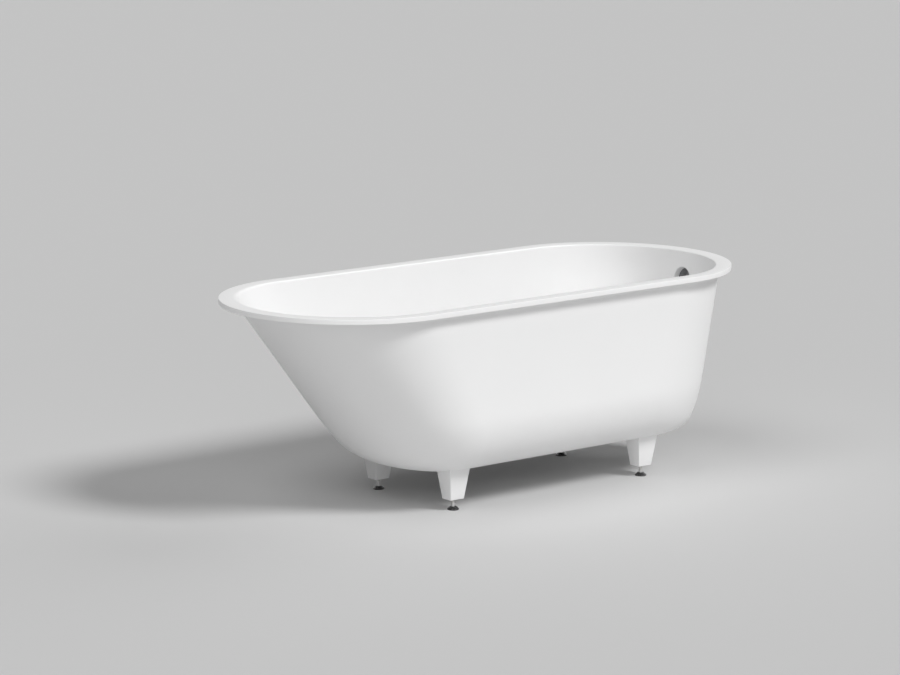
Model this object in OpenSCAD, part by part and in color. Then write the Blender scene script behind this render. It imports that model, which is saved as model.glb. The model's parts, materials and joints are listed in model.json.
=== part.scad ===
// Freestanding stone resin bathtub on four tapered legs with screw feet.
// The tub is one cast skin: a flat overhanging rim, a raked back at the head end
// and a steep wall with a plain overflow hole at the foot end.
// Origin on the floor under the middle of the rim. +X towards the foot end,
// -Y towards the front, +Z up. All sizes are in millimetres.

/* [Rim] */
// Length of the rim from end to end
rim_length = 1700; // [1600:10:1800]
// Width of the rim from side to side
rim_width = 756; // [740:2:790]
// Height of the rim's top face above the floor
rim_height = 620; // [590:5:660]
// Thickness of the rim at its edge
rim_thick = 14.5; // [12:0.5:18]
// Length of the rim's rounded head end
rim_end_head = 372; // [350:2:390]
// Length of the rim's rounded foot end
rim_end_foot = 354; // [335:2:375]
// Width of the flat rim along the sides
lip_side = 39; // [37:0.5:44]
// Width of the flat rim at the head end
lip_head = 40; // [38:0.5:46]
// Width of the flat rim at the foot end
lip_foot = 49; // [47:0.5:54]
// Rounding of the rim's outer edges
rim_edge_round = 1; // [0.5:0.5:4]
// How far the rim's inner rounding runs in along the sides
lip_run_side = 5; // [4:0.5:8]
// How far the rim's inner rounding runs in at the head end
lip_run_head = 14.5; // [12:0.5:18]
// How far the rim's inner rounding runs in at the foot end
lip_run_foot = 3; // [2:0.5:6]

/* [Body] */
// Height of the flat underside above the floor
underside = 110; // [106:1:124]
// Overhang of the rim past the body at the head end
overhang_head = 47; // [42:1:54]
// Overhang of the rim past the body at the foot end
overhang_foot = 25; // [20:1:30]
// Overhang of the rim past the body along the sides
overhang_side = 28; // [25:1:30]
// How far the backrest leans in from the rim to the underside
rake_head = 405; // [370:5:430]
// How far the foot wall leans in from the rim to the underside
rake_foot = 90; // [70:5:110]
// How far each side wall leans in from the rim to the underside
rake_side = 30; // [20:2:44]
// Length of the body's rounded head end just under the rim
end_head_top = 372; // [350:2:390]
// Length of the body's rounded head end at the underside
end_head_base = 220; // [190:5:250]
// Length of the body's rounded foot end just under the rim
end_foot_top = 372; // [350:2:390]
// Length of the body's rounded foot end at the underside
end_foot_base = 340; // [310:5:360]
// Radius between the backrest and the underside
round_head = 180; // [150:5:210]
// Radius between the foot wall and the underside
round_foot = 58; // [50:2:76]
// Radius between each side wall and the underside
round_side = 190; // [160:5:205]
// Hollow radius where the body runs into the rim
root_round = 16; // [8:1:18]
// Thickness of the tub's walls
wall = 15; // [13:0.5:17]
// Thickness of the tub's floor
floor_thick = 24; // [22:0.5:28]
// Fall of the tub's floor towards the waste
floor_fall = 5; // [2:0.5:7]
// Radius inside the tub between the foot wall and the floor
basin_round_foot = 70; // [56:2:90]
// Height of the upright band at the top of the inner foot wall
upright = 75; // [60:5:90]

/* [Legs] */
// Width of each leg at its top, along the tub
leg_top = 70; // [64:1:76]
// Width of each leg at its bottom, along the tub
leg_bottom = 49; // [44:1:54]
// Depth of each leg at its top, across the tub
leg_top_depth = 60; // [56:1:68]
// Depth of each leg at its bottom, across the tub
leg_bottom_depth = 39; // [36:1:46]
// Rounding of the legs' upright edges
leg_round = 1.5; // [1:0.5:4]
// Height of the legs' bottom faces above the floor
leg_clear = 32; // [29:1:36]
// Distance of the head legs in from the corner of backrest and underside
leg_in_head = 152; // [140:2:170]
// Distance of the foot legs in from the corner of foot wall and underside
leg_in_foot = 266; // [240:2:290]
// Distance of the head legs in from the line of the side walls
leg_in_side_head = 148; // [138:2:165]
// Distance of the foot legs in from the line of the side walls
leg_in_side_foot = 140; // [130:2:165]
// Diameter of the studs that fix each leg
stud_d = 8; // [6:1:8]
// Length of the studs that fix each leg
stud_len = 46; // [40:1:48]
// Distance of each stud from the leg's middle
stud_off = 17; // [16:0.5:18]
// Outer diameter of the brass inserts that the studs screw into
insert_d = 12; // [11:0.5:13]
// Depth of the inserts above the flat underside
insert_depth = 14; // [12:0.5:15]

/* [Screw feet] */
// Diameter of the foot spindles
spindle_d = 12; // [10:0.5:13]
// Length of each spindle's threaded shank
spindle_len = 66; // [56:1:68]
// Width across the spanner flats on the spindle
flats_w = 10; // [8.5:0.5:10.5]
// Height of the spanner flats
flats_h = 7; // [5:0.5:8]
// Outer diameter of the threaded bush in each leg
bush_d = 18; // [17:0.5:20]
// Length of the threaded bush in each leg
bush_len = 28; // [22:1:32]
// Diameter of the foot pads
pad_d = 34; // [30:1:40]
// Thickness of the pads' rim
pad_edge = 3.5; // [2.5:0.5:4.5]
// Full height of the pads
pad_h = 10; // [9:0.5:12]
// Diameter of the pads' top
pad_top_d = 20; // [18:0.5:22]
// Diameter of the journal on which each pad turns
journal_d = 9; // [7:0.5:9.5]
// How far each foot can be screwed in from its rest place
travel_in = 18; // [10:1:18]

/* [Waste] */
// Distance of the waste in from the corner of foot wall and underside
waste_in = 155; // [150:1:170]
// Diameter of the hole for the waste
waste_hole_d = 52; // [50:1:54]
// Diameter of the waste's flange
waste_flange_d = 70; // [66:1:74]
// Thickness of the waste's flange
waste_flange_t = 2.5; // [2:0.5:3.5]
// Outer diameter of the waste's threaded barrel
barrel_d = 47; // [46:0.5:48]
// Bore of the waste's barrel
barrel_bore = 39; // [36:0.5:40]
// Diameter of the threaded tail that a trap screws on to
tail_d = 47.8; // [46:0.2:50]
// Length of the threaded tail
tail_len = 16; // [12:1:18]
// Bore of the tail
tail_bore = 40; // [36:0.5:41]
// Diameter of the plug's cap
cap_d = 60; // [57:1:62]
// Diameter of the plug's stem
stem_d = 7; // [6:0.5:8]
// How far the plug lifts
plug_lift = 9; // [7:0.5:10]

/* [Overflow] */
// Diameter of the overflow hole
overflow_d = 66; // [60:1:68]
// Depth of the overflow hole's middle below the rim
overflow_drop = 83; // [76:1:96]
// Height of the flat seat on the outside of the foot wall
seat_h = 1.5; // [1:0.5:3]
// Outer diameter of the overflow pipe
pipe_d = 25; // [22:1:28]
// Wall of the pipe, elbow and tee
pipe_wall = 3; // [2:0.5:3.5]
// Gap between the overflow pipe and the tub
pipe_gap = 5.5; // [5:0.5:7]

/* [Hidden] */

$fn = 64;
// Points around each section of the tub, twice an odd number
section_points = 90;
// Levels through each rounded bottom corner
corner_levels = 11;
// Gap of a glued or seated joint
seat_gap = 0.05;
// Radial clearance of a piece that turns or slides
run_gap = 0.08;
// Gap under a soft seal
soft_gap = 0.3;
// Overlap that makes a cut or a union clean
eps = 0.5;

stone = [0.95, 0.95, 0.94];
black = [0.06, 0.06, 0.06];
rubber = [0.1, 0.1, 0.11];
steel = [0.7, 0.71, 0.72];
brass = [0.8, 0.65, 0.3];
chrome = [0.85, 0.86, 0.88];
white_plastic = [0.88, 0.88, 0.86];
grey_plastic = [0.25, 0.26, 0.27];

rim_head = rim_length / 2;
rim_foot = rim_length / 2;
rim_half = rim_width / 2;
body_h = rim_height - rim_thick - underside;
base_head = rim_head - overhang_head - rake_head;
base_foot = rim_foot - overhang_foot - rake_foot;
base_half = rim_half - overhang_side - rake_side;
basin_z = underside + floor_thick;
basin_h = rim_height - basin_z;
lean_head = atan(rake_head / body_h);
lean_foot = atan(rake_foot / body_h);
lean_side = atan(rake_side / body_h);

// Inner corners of the floor: the walls' lines moved in by the wall's thickness
basin_head = base_head + floor_thick * tan(lean_head) - wall / cos(lean_head);
basin_foot = base_foot + floor_thick * tan(lean_foot) - wall / cos(lean_foot);
basin_half = base_half + floor_thick * tan(lean_side) - wall / cos(lean_side);
knee_round = 6;

// Legs: index 0 front left, 1 rear left, 2 front right, 3 rear right
leg_at = [[leg_in_head - base_head, leg_in_side_head - base_half],
    [leg_in_head - base_head, base_half - leg_in_side_head],
    [base_foot - leg_in_foot, leg_in_side_foot - base_half],
    [base_foot - leg_in_foot, base_half - leg_in_side_foot]];
// Flat seats under the tub carry the legs' form on up into the floor
leg_seat_h = floor_thick - 4;
leg_size = [leg_bottom, leg_bottom_depth];
// How much a leg grows per millimetre of height
leg_taper = ([leg_top, leg_top_depth] - leg_size) / (underside - leg_clear);

journal_len = 5;
pad_floor = 3;
spindle_z = pad_floor + journal_len + seat_gap;
flats_z = pad_h + 2;

waste_x = base_foot - waste_in;
dish_r = waste_flange_d / 2 + 12;
dish_z = basin_z - floor_fall;
upper_seal_t = 1.5;
lower_seal_t = 3;
recess_r = waste_flange_d / 2 + 1;
recess_depth = waste_flange_t + upper_seal_t + seat_gap;
seat_drop = 4;
cone_r = barrel_bore / 2 + 7.5;
tee_top = underside - lower_seal_t;
tee_r = waste_flange_d / 2 + 3;
barrel_grip = 9;
inlet_z = underside - pipe_gap - pipe_d / 2;
tee_bottom = inlet_z - pipe_d / 2;
chamber_r = barrel_d / 2 + 6;
hub_r = 7;
hub_z = tee_top - 3;
hub_h = 6;
guide_r = 8.5;
spoke_w = 3;
cap_z = dish_z + 1;
cap_t = 4;

overflow_z = rim_height - overflow_drop;
gasket_t = 2;
elbow_flange_t = 4;
elbow_r = overflow_d / 2 + 1;
elbow_back = pipe_gap + pipe_d + 1;
elbow_chamfer = 5;
screw_d = 4;
screw_head_r = 3.6;
screw_clear = 0.8;
screw_pitch_r = elbow_r + screw_clear + screw_head_r;
// Diameter of the flat seat and of the elbow's flange, which hold the screws' heads
seat_d = 2 * (screw_pitch_r + screw_head_r + 1);
overflow_insert_r = 2.8;
overflow_insert_len = 9;
screw_angles = [90, 210, 330];
// Centre of the arc between foot wall and underside, round which the pipe bends
bend_x = base_foot + round_foot * tan(lean_foot) - round_foot / cos(lean_foot);
bend_z = underside + round_foot;
bend_r = round_foot + pipe_gap + pipe_d / 2;
// Distance up the foot wall from the end of that arc to the overflow's middle
overflow_s = (overflow_z - wall * sin(lean_foot) - bend_z) / cos(lean_foot) + round_foot * tan(lean_foot);
spigot_len = 24;
socket_len = 14;
socket_lap = 3;
socket_wall = 2.4;
spigot_s = overflow_s - elbow_r - spigot_len;
pipe_end_gap = 1;
nut_len = 18;
nut_grip = 3;
nut_r = pipe_d / 2 + nut_grip;
tee_spigot_x = tee_r + 2 + nut_len / 2;
bend_run = bend_x - waste_x - tee_spigot_x - pipe_end_gap;

// Position on a wall at height z above its floor: a straight line that leans out by
// rake over the height h, with an arc of radius r into the floor at the bottom
function wall_line(base, rake, h, z) = base + rake * z / h;
function arc_reach(r, z) = sqrt(max(0, r * r - z * z));
function wall_at(base, rake, h, r, z) =
    let (a = atan(rake / h), cx = base + r * tan(a) - r / cos(a))
    z < r * (1 - sin(a)) ? cx + arc_reach(r, z - r) : wall_line(base, rake, h, z);

// The same with a hollow arc of radius root_round out to the rim at the top
function outer_at(base, rake, r, z) =
    let (a = atan(rake / body_h), rr = root_round,
        cx = wall_line(base, rake, body_h, body_h - rr) + rr / cos(a))
    z > body_h - rr * (1 - sin(a)) ? cx - arc_reach(rr, z - body_h + rr)
        : wall_at(base, rake, body_h, r, z);

// The smaller of two values, blended over the width k
function soft_min(a, b, k) = min(a, b) - (k > abs(a - b) ? (k - abs(a - b)) * (k - abs(a - b)) / (4 * k) : 0);

// Inner wall: a rounded lip at the rim, an upright band of height up, then the leaning wall
function basin_line(edge, run, base, up, z) =
    let (top = edge - run, lean = wall_line(base, top - base, basin_h - up, z))
    up > 0 ? soft_min(top, lean, knee_round) : min(top, lean);
function basin_at(edge, run, base, r, up, z) =
    let (rake = edge - run - base, a = atan(rake / (basin_h - up)), a_top = up > 0 ? 0 : a,
        lip = run / tan(45 - a_top / 2))
    z > basin_h - lip * (1 - sin(a_top)) ? edge - arc_reach(lip, z - basin_h + lip)
        : z < r * (1 - sin(a)) ? wall_at(base, rake, basin_h - up, r, z)
        : basin_line(edge, run, base, up, z);

// Length of a rounded end: it keeps an even offset outside the wall's line
// and narrows with the section inside it
function end_at(line_end, x, line_x, half, line_half) =
    x > line_x ? line_end + x - line_x : line_end * half / line_half;
function mix(a, b, t) = a + (b - a) * t;

// A section is [height, head reach, foot reach, half width, head end length, foot end length]
function outer_section(z) =
    let (head = outer_at(base_head, rake_head, round_head, z),
        foot = outer_at(base_foot, rake_foot, round_foot, z),
        half = outer_at(base_half, rake_side, round_side, z),
        line_half = wall_line(base_half, rake_side, body_h, z), t = z / body_h)
    [underside + z, head, foot, half,
        end_at(mix(end_head_base, end_head_top, t), head,
            wall_line(base_head, rake_head, body_h, z), half, line_half),
        end_at(mix(end_foot_base, end_foot_top, t), foot,
            wall_line(base_foot, rake_foot, body_h, z), half, line_half)];

function rim_section(z, inset) = [z, rim_head - inset, rim_foot - inset, rim_half - inset,
    rim_end_head - inset, rim_end_foot - inset];

function basin_section(z) =
    let (edge_head = rim_head - lip_head, edge_foot = rim_foot - lip_foot, edge_half = rim_half - lip_side,
        head = basin_at(edge_head, lip_run_head, basin_head, round_head - wall, 0, z),
        foot = basin_at(edge_foot, lip_run_foot, basin_foot, basin_round_foot, upright, z),
        half = basin_at(edge_half, lip_run_side, basin_half, round_side - wall, 0, z),
        line_half = basin_line(edge_half, lip_run_side, basin_half, 0, z), t = z / basin_h)
    [basin_z + z, head, foot, half,
        end_at(mix(end_head_base - base_head + basin_head, rim_end_head - lip_head - lip_run_head, t),
            head, basin_line(edge_head, lip_run_head, basin_head, 0, z), half, line_half),
        end_at(mix(end_foot_base - base_foot + basin_foot, rim_end_foot - lip_foot - lip_run_foot, t),
            foot, basin_line(edge_foot, lip_run_foot, basin_foot, upright, z), half, line_half)];

function section_ring(s) =
    let (q = section_points / 2)
    [for (i = [0 : section_points - 1])
        let (foot = i < q, t = foot ? 180 * i / (q - 1) - 90 : 180 * (i - q) / (q - 1) + 90)
        [foot ? s[2] - s[5] + s[5] * cos(t) : s[4] - s[1] + s[4] * cos(t), s[3] * sin(t), s[0]]];

// Round ring at the foot of the floor's fall, each point towards the one of ring
function dish_ring(ring) = [for (p = ring)
    let (d = [p[0] - waste_x, p[1]], l = norm(d)) [waste_x + dish_r * d[0] / l, dish_r * d[1] / l, dish_z]];

// Heights close together where the corner curves most
function corner_heights(depth, n) = [for (k = [0 : n]) depth * (1 - cos(90 * k / n))];
function arc_steps(n) = [for (k = [0 : n]) 90 * k / n];

lower_heights = corner_heights(round_side, corner_levels);
root_heights = [for (a = arc_steps(4)) body_h - root_round * (1 - sin(a))];
outer_heights = concat(lower_heights, [body_h * 0.6, body_h * 0.82], root_heights);
lip_z = lip_run_head / tan(45 - lean_head / 2) * (1 - sin(lean_head));
basin_heights = concat([for (k = [0 : 6]) basin_h - (lip_z + 1) * (1 - cos(90 * k / 6))],
    [basin_h - upright * 0.6, basin_h - upright * 0.85, basin_h - upright, basin_h - upright * 1.2,
        basin_h * 0.6],
    [for (k = [corner_levels : -1 : 0]) corner_heights(round_side - wall, corner_levels)[k]]);

outer_rings = [for (z = outer_heights) section_ring(outer_section(z))];
edge_rings = concat(
    [for (a = arc_steps(3)) section_ring(rim_section(rim_height - rim_thick + rim_edge_round * (1 - cos(a)),
        rim_edge_round * (1 - sin(a))))],
    [for (a = arc_steps(3)) section_ring(rim_section(rim_height - rim_edge_round * (1 - sin(a)),
        rim_edge_round * (1 - cos(a))))]);
basin_rings = [for (z = basin_heights) section_ring(basin_section(z))];

// A closed solid through rings of equal count, with flat ends
module skin(rings) {
    n = len(rings[0]);
    m = len(rings);
    polyhedron(points = [for (r = rings) for (p = r) p],
        faces = concat([[for (i = [0 : n - 1]) i]],
            [for (k = [0 : m - 2], i = [0 : n - 1]) [k * n + i, (k + 1) * n + i, (k + 1) * n + (i + 1) % n]],
            [for (k = [0 : m - 2], i = [0 : n - 1])
                [k * n + i, (k + 1) * n + (i + 1) % n, k * n + (i + 1) % n]],
            [[for (i = [n - 1 : -1 : 0]) (m - 1) * n + i]]),
        convexity = 6);
}

// Outline of a leg at the height z, its corners in three short steps
function leg_ring(i, z) =
    let (size = leg_size + leg_taper * (z - leg_clear), r = leg_round * size[0] / leg_bottom)
    [for (q = [0 : 3], a = arc_steps(3))
        [leg_at[i][0] + (q == 0 || q == 3 ? 1 : -1) * (size[0] / 2 - r) + r * cos(90 * q + a),
            leg_at[i][1] + (q < 2 ? 1 : -1) * (size[1] / 2 - r) + r * sin(90 * q + a), z]];

// Part of a tapered leg between two heights
module leg_block(i, z0, z1) {
    skin([leg_ring(i, z0), leg_ring(i, z1)]);
}

// Children at the two fixing studs of a leg, from the height z
module at_studs(i, z) {
    for (side = [-1, 1]) translate([leg_at[i][0] + side * stud_off, leg_at[i][1], z]) children();
}

// Frame on the outside of the foot wall: x away from the wall, z up along it
module on_foot_wall(off, up) {
    translate([bend_x, 0, bend_z]) rotate([0, lean_foot, 0]) translate([round_foot + off, 0, up]) children();
}

// Frame at the overflow with z straight out of the wall, at the angle a round the hole
module at_overflow(off, r = 0, a = 0) {
    on_foot_wall(off, overflow_s) rotate([a - 90, 0, 0]) translate([0, 0, r]) rotate([0, 90, 0]) children();
}

module ring(outer_r, inner_r, h) {
    difference() {
        cylinder(r = outer_r, h = h);
        translate([0, 0, -eps]) cylinder(r = inner_r, h = h + 2 * eps);
    }
}

module tub_shell() {
    color(stone) difference() {
        union() {
            skin(concat(outer_rings, edge_rings, basin_rings, [dish_ring(section_ring(basin_section(0)))]));
            for (i = [0 : 3]) leg_block(i, underside, underside + leg_seat_h);
            at_overflow(-wall / 2) cylinder(d = seat_d, h = wall / 2 + seat_h);
        }
        at_overflow(-2 * wall) cylinder(d = overflow_d, h = 3 * wall);
        for (a = screw_angles)
            at_overflow(seat_h - overflow_insert_len - seat_gap, screw_pitch_r, a)
                cylinder(r = overflow_insert_r + seat_gap, h = overflow_insert_len + eps);
        translate([waste_x, 0, underside - eps]) cylinder(d = waste_hole_d, h = floor_thick + eps);
        translate([waste_x, 0, dish_z - recess_depth]) cylinder(r = recess_r, h = recess_depth + floor_fall);
        for (i = [0 : 3])
            at_studs(i, underside - eps)
                cylinder(d = insert_d + 2 * seat_gap, h = insert_depth + seat_gap + eps);
    }
}

// Tapered leg, bored for its bush, its spindle and its two studs
module leg(i) {
    color(stone) difference() {
        leg_block(i, leg_clear, underside - seat_gap);
        translate([leg_at[i][0], leg_at[i][1], leg_clear - eps]) {
            cylinder(d = bush_d + 2 * seat_gap, h = bush_len + eps);
            cylinder(d = spindle_d + 2, h = spindle_z + spindle_len - leg_clear + travel_in + 3 + eps);
        }
        at_studs(i, underside + insert_depth - stud_len - seat_gap)
            cylinder(d = stud_d + 2 * seat_gap, h = stud_len);
    }
}

// Two steel studs that hold the leg to the tub
module leg_studs(i) {
    color(steel) at_studs(i, underside + insert_depth - stud_len) cylinder(d = stud_d, h = stud_len - 1);
}

// Two brass inserts cast into the leg's seat
module tub_inserts(i) {
    color(brass) at_studs(i, underside) ring(insert_d / 2, stud_d / 2 + seat_gap, insert_depth);
}

module leg_bush(i) {
    color(brass) translate([leg_at[i][0], leg_at[i][1], leg_clear])
        ring(bush_d / 2, spindle_d / 2 + run_gap, bush_len - seat_gap);
}

// Threaded spindle with spanner flats and a journal that turns in the pad
module foot_spindle(i) {
    color(steel) translate([leg_at[i][0], leg_at[i][1], 0]) {
        translate([0, 0, pad_floor + run_gap]) cylinder(d = journal_d, h = journal_len + 1);
        difference() {
            translate([0, 0, spindle_z]) {
                cylinder(d = spindle_d, h = spindle_len - 1);
                translate([0, 0, spindle_len - 1]) cylinder(d1 = spindle_d, d2 = spindle_d - 2, h = 1);
            }
            for (side = [-1, 1])
                translate([side * (flats_w + spindle_d) / 2, 0, flats_z + flats_h / 2])
                    cube([spindle_d, spindle_d, flats_h], center = true);
        }
    }
}

// Black pad: a low disc that rises in a cone round the spindle
module foot_pad(i) {
    color(black) translate([leg_at[i][0], leg_at[i][1], 0]) difference() {
        rotate_extrude() polygon([[0, 0], [pad_d / 2 - 0.6, 0], [pad_d / 2, 0.6],
            [pad_d / 2, pad_edge - 0.8], [pad_d / 2 - 0.8, pad_edge],
            [pad_top_d / 2, pad_h - 0.5], [pad_top_d / 2 - 0.5, pad_h], [0, pad_h]]);
        translate([0, 0, pad_floor]) cylinder(r = journal_d / 2 + run_gap, h = pad_h);
        translate([0, 0, spindle_z - seat_gap - run_gap]) cylinder(r = spindle_d / 2 + 0.4, h = pad_h);
    }
}

// Chromed flange with its threaded barrel and the spokes that carry the plug
module waste_flange() {
    color(chrome) translate([waste_x, 0, 0]) {
        rotate_extrude() polygon([[barrel_bore / 2, tee_top - barrel_grip],
            [barrel_d / 2, tee_top - barrel_grip],
            [barrel_d / 2, dish_z - waste_flange_t], [waste_flange_d / 2, dish_z - waste_flange_t],
            [waste_flange_d / 2, dish_z - 1], [waste_flange_d / 2 - 1, dish_z], [cone_r, dish_z],
            [barrel_bore / 2, dish_z - seat_drop]]);
        translate([0, 0, hub_z]) difference() {
            union() {
                cylinder(r = hub_r, h = hub_h);
                for (a = [0, 120, 240]) rotate([0, 0, a])
                    translate([0, -spoke_w / 2, 0]) cube([barrel_bore / 2 + 0.5, spoke_w, hub_h]);
            }
            translate([0, 0, -eps]) cylinder(r = stem_d / 2 + run_gap, h = hub_h + 2 * eps);
        }
    }
}

module waste_upper_seal() {
    color(rubber) translate([waste_x, 0, dish_z - recess_depth])
        ring(waste_flange_d / 2 - 1, waste_hole_d / 2 + 1, upper_seal_t);
}

module waste_lower_seal() {
    color(rubber) translate([waste_x, 0, tee_top]) ring(tee_r, waste_hole_d / 2 - 1, lower_seal_t);
}

// Body screwed on under the tub, with the overflow's inlet and the threaded tail
module waste_tee() {
    color(white_plastic) translate([waste_x, 0, 0]) difference() {
        union() {
            translate([0, 0, tee_top - 4]) cylinder(r = tee_r, h = 4 - seat_gap);
            translate([0, 0, tee_bottom]) cylinder(r = chamber_r, h = tee_top - tee_bottom - 3);
            translate([0, 0, tee_bottom - tail_len]) cylinder(d = tail_d, h = tail_len + 1);
            translate([chamber_r - 4, 0, inlet_z]) rotate([0, 90, 0])
                cylinder(d = pipe_d, h = tee_spigot_x - chamber_r + 4);
        }
        translate([0, 0, tee_bottom - tail_len - eps]) cylinder(d = tail_bore, h = tail_len + 10);
        translate([0, 0, tee_bottom + pipe_wall])
            cylinder(r = chamber_r - pipe_wall, h = tee_top - barrel_grip - tee_bottom - pipe_wall - 1);
        translate([0, 0, tee_top - barrel_grip - 2])
            cylinder(r = barrel_d / 2 + seat_gap, h = barrel_grip + 3);
        translate([chamber_r - 8, 0, inlet_z]) rotate([0, 90, 0])
            cylinder(d = pipe_d - 2 * pipe_wall, h = tee_spigot_x - chamber_r + 8 + eps);
    }
}

module plug_cap() {
    color(chrome) translate([waste_x, 0, cap_z]) difference() {
        rotate_extrude() polygon(concat(
            [[0, -3], [hub_r, -3], [hub_r, 0], [cap_d / 2 - 1, 0], [cap_d / 2, 1]],
            [for (a = [0 : 6 : 60]) [(cap_d / 2 - 3) + 3 * cos(a), cap_t - 3 + 3 * sin(a)]],
            [[0, cap_t + 0.8]]));
        translate([0, 0, -3 - eps]) cylinder(r = stem_d / 2 + seat_gap, h = 3 + eps + 2);
    }
}

// Soft ring under the cap, shaped like the seat below it
module plug_seal() {
    color(rubber) translate([waste_x, 0, 0]) rotate_extrude()
        polygon([[hub_r + seat_gap, cap_z - seat_gap], [hub_r + seat_gap, cap_z - 2.2],
            [barrel_bore / 2 - 0.5, cap_z - 2.2],
            [cone_r - 3, dish_z - 3 * seat_drop / (cone_r - barrel_bore / 2) + soft_gap],
            [cone_r - 0.4, dish_z + soft_gap], [cone_r - 0.4, cap_z - seat_gap]]);
}

module plug_stem() {
    color(steel) translate([waste_x, 0, hub_z - 8])
        cylinder(d = stem_d, h = cap_z + 2 - seat_gap - hub_z + 8);
}

// Click sleeve on the spokes' hub, in which the stem slides
module plug_guide() {
    color(steel) translate([waste_x, 0, hub_z + hub_h + seat_gap])
        ring(guide_r, stem_d / 2 + run_gap, cap_z - 3 - soft_gap - hub_z - hub_h - seat_gap);
}

module overflow_gasket() {
    color(rubber) difference() {
        at_overflow(seat_h + seat_gap / 2) ring(seat_d / 2, overflow_d / 2, gasket_t);
        for (a = screw_angles)
            at_overflow(seat_h - eps, screw_pitch_r, a) cylinder(d = screw_d + 1, h = gasket_t + 2 * eps);
    }
}

// Shallow chamber behind the overflow hole, with a spigot down along the foot wall
module overflow_elbow() {
    front = seat_h + gasket_t + seat_gap;
    color(grey_plastic) difference() {
        union() {
            at_overflow(front) cylinder(d = seat_d, h = elbow_flange_t);
            at_overflow(front) cylinder(r = elbow_r, h = elbow_back - elbow_chamfer - front);
            at_overflow(elbow_back - elbow_chamfer)
                cylinder(r1 = elbow_r, r2 = elbow_r - elbow_chamfer, h = elbow_chamfer);
            on_foot_wall(pipe_gap + pipe_d / 2, spigot_s)
                cylinder(d = pipe_d, h = overflow_s - spigot_s - 12);
        }
        at_overflow(front - eps)
            cylinder(r = elbow_r - pipe_wall, h = elbow_back - elbow_chamfer - front + eps);
        on_foot_wall(pipe_gap + pipe_d / 2, spigot_s - eps)
            cylinder(d = pipe_d - 2 * pipe_wall, h = overflow_s - spigot_s);
        for (a = screw_angles)
            at_overflow(front - eps, screw_pitch_r, a)
                cylinder(d = screw_d + 0.4, h = elbow_flange_t + 2 * eps);
    }
}

module overflow_inserts() {
    color(brass) for (a = screw_angles)
        at_overflow(seat_h - overflow_insert_len, screw_pitch_r, a)
            ring(overflow_insert_r, screw_d / 2 + seat_gap, overflow_insert_len);
}

// Three screws through flange and gasket into the inserts
module overflow_screws() {
    grip = overflow_insert_len - 1 + gasket_t + elbow_flange_t + 2 * seat_gap;
    color(steel) for (a = screw_angles)
        at_overflow(seat_h - overflow_insert_len + 1, screw_pitch_r, a) difference() {
            union() {
                cylinder(d = screw_d, h = grip + 1);
                translate([0, 0, grip]) cylinder(r = screw_head_r, h = 2.5);
            }
            translate([0, 0, grip + 1]) cylinder(d = 2.5, h = 2.5, $fn = 6);
        }
}

// Straight pipe down the foot wall, from the elbow to the bend
module overflow_pipe_upper() {
    color(white_plastic) on_foot_wall(pipe_gap + pipe_d / 2, seat_gap)
        ring(pipe_d / 2, pipe_d / 2 - pipe_wall, spigot_s - pipe_end_gap - seat_gap);
}

// Straight pipe under the tub, from the bend to the tee
module overflow_pipe_lower() {
    color(white_plastic) translate([bend_x - bend_run, 0, inlet_z]) rotate([0, 90, 0])
        ring(pipe_d / 2, pipe_d / 2 - pipe_wall, bend_run - seat_gap);
}

// Round bar bent about the corner's centre, with the children as its section
module bent() {
    translate([bend_x, 0, bend_z]) rotate([90, 0, 0]) rotate([0, 0, -90])
        rotate_extrude(angle = 90 - lean_foot) translate([bend_r, 0]) children();
}

// Bend round the bottom corner with a socket for the pipe at either end
module overflow_bend() {
    socket_r = pipe_d / 2 + seat_gap + socket_wall;
    color(white_plastic) difference() {
        union() {
            bent() circle(r = socket_r - 0.8);
            on_foot_wall(pipe_gap + pipe_d / 2, -socket_lap)
                cylinder(r = socket_r, h = socket_len + socket_lap);
            translate([bend_x - socket_len, 0, inlet_z]) rotate([0, 90, 0])
                cylinder(r = socket_r, h = socket_len + socket_lap);
        }
        bent() circle(d = pipe_d - 2 * pipe_wall);
        on_foot_wall(pipe_gap + pipe_d / 2, 0) cylinder(d = pipe_d + 2 * seat_gap, h = socket_len + eps);
        translate([bend_x - socket_len - eps, 0, inlet_z]) rotate([0, 90, 0])
            cylinder(d = pipe_d + 2 * seat_gap, h = socket_len + eps);
    }
}

// Union nut with grip ribs, centred on its joint
module union_nut() {
    translate([0, 0, -nut_len / 2]) {
        ring(nut_r - 1.2, pipe_d / 2 + seat_gap, nut_len);
        for (a = [0 : 36 : 324])
            rotate([0, 0, a]) translate([nut_r - 1.4, 0, 1.5]) cylinder(r = 1.4, h = nut_len - 3, $fn = 16);
    }
}

module overflow_nut_top() {
    color(white_plastic) on_foot_wall(pipe_gap + pipe_d / 2, spigot_s - pipe_end_gap / 2) union_nut();
}

module overflow_nut_bottom() {
    color(white_plastic) translate([waste_x + tee_spigot_x + pipe_end_gap / 2, 0, inlet_z])
        rotate([0, 90, 0]) union_nut();
}

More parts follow.
